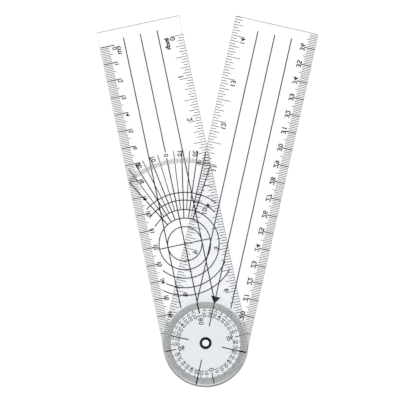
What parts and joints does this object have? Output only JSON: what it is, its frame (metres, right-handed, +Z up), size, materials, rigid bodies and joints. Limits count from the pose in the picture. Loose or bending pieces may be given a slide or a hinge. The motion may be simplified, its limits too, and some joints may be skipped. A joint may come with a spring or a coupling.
{
  "type": "goniometer",
  "caption": "Flat clear plastic goniometer with printed ruler arms, square at the free ends and round at the pivot, pinned face to face by a hollow metal eyelet.",
  "frame": {"origin": "on the pivot axis, in the plane of the dial arm's underside, where the two arms meet", "axes": "+Y along the dial arm towards its free end, +Z up out of the face that shows the eyelet's flange"},
  "size_m": [0.1268, 0.2158, 0.0035],
  "materials": {
    "clear_sheet": "clear polished sheet",
    "eyelet_metal": "gloss black coating",
    "washer_metal": "plain plated steel",
    "printed_ink": "screen-printed black ink"
  },
  "bodies": {
    "dial_side": {"dial_arm": "clear_sheet", "eyelet": "eyelet_metal", "eyelet_washer": "washer_metal"},
    "pointer_side": {"pointer_arm": "clear_sheet"}
  },
  "joints": [
    {"name": "arm_pivot", "type": "hinge", "parent": "dial_side", "child": "pointer_side", "pos_m": [0, 0, 0], "axis": [0, 0, 1], "continuous": true}
  ]
}
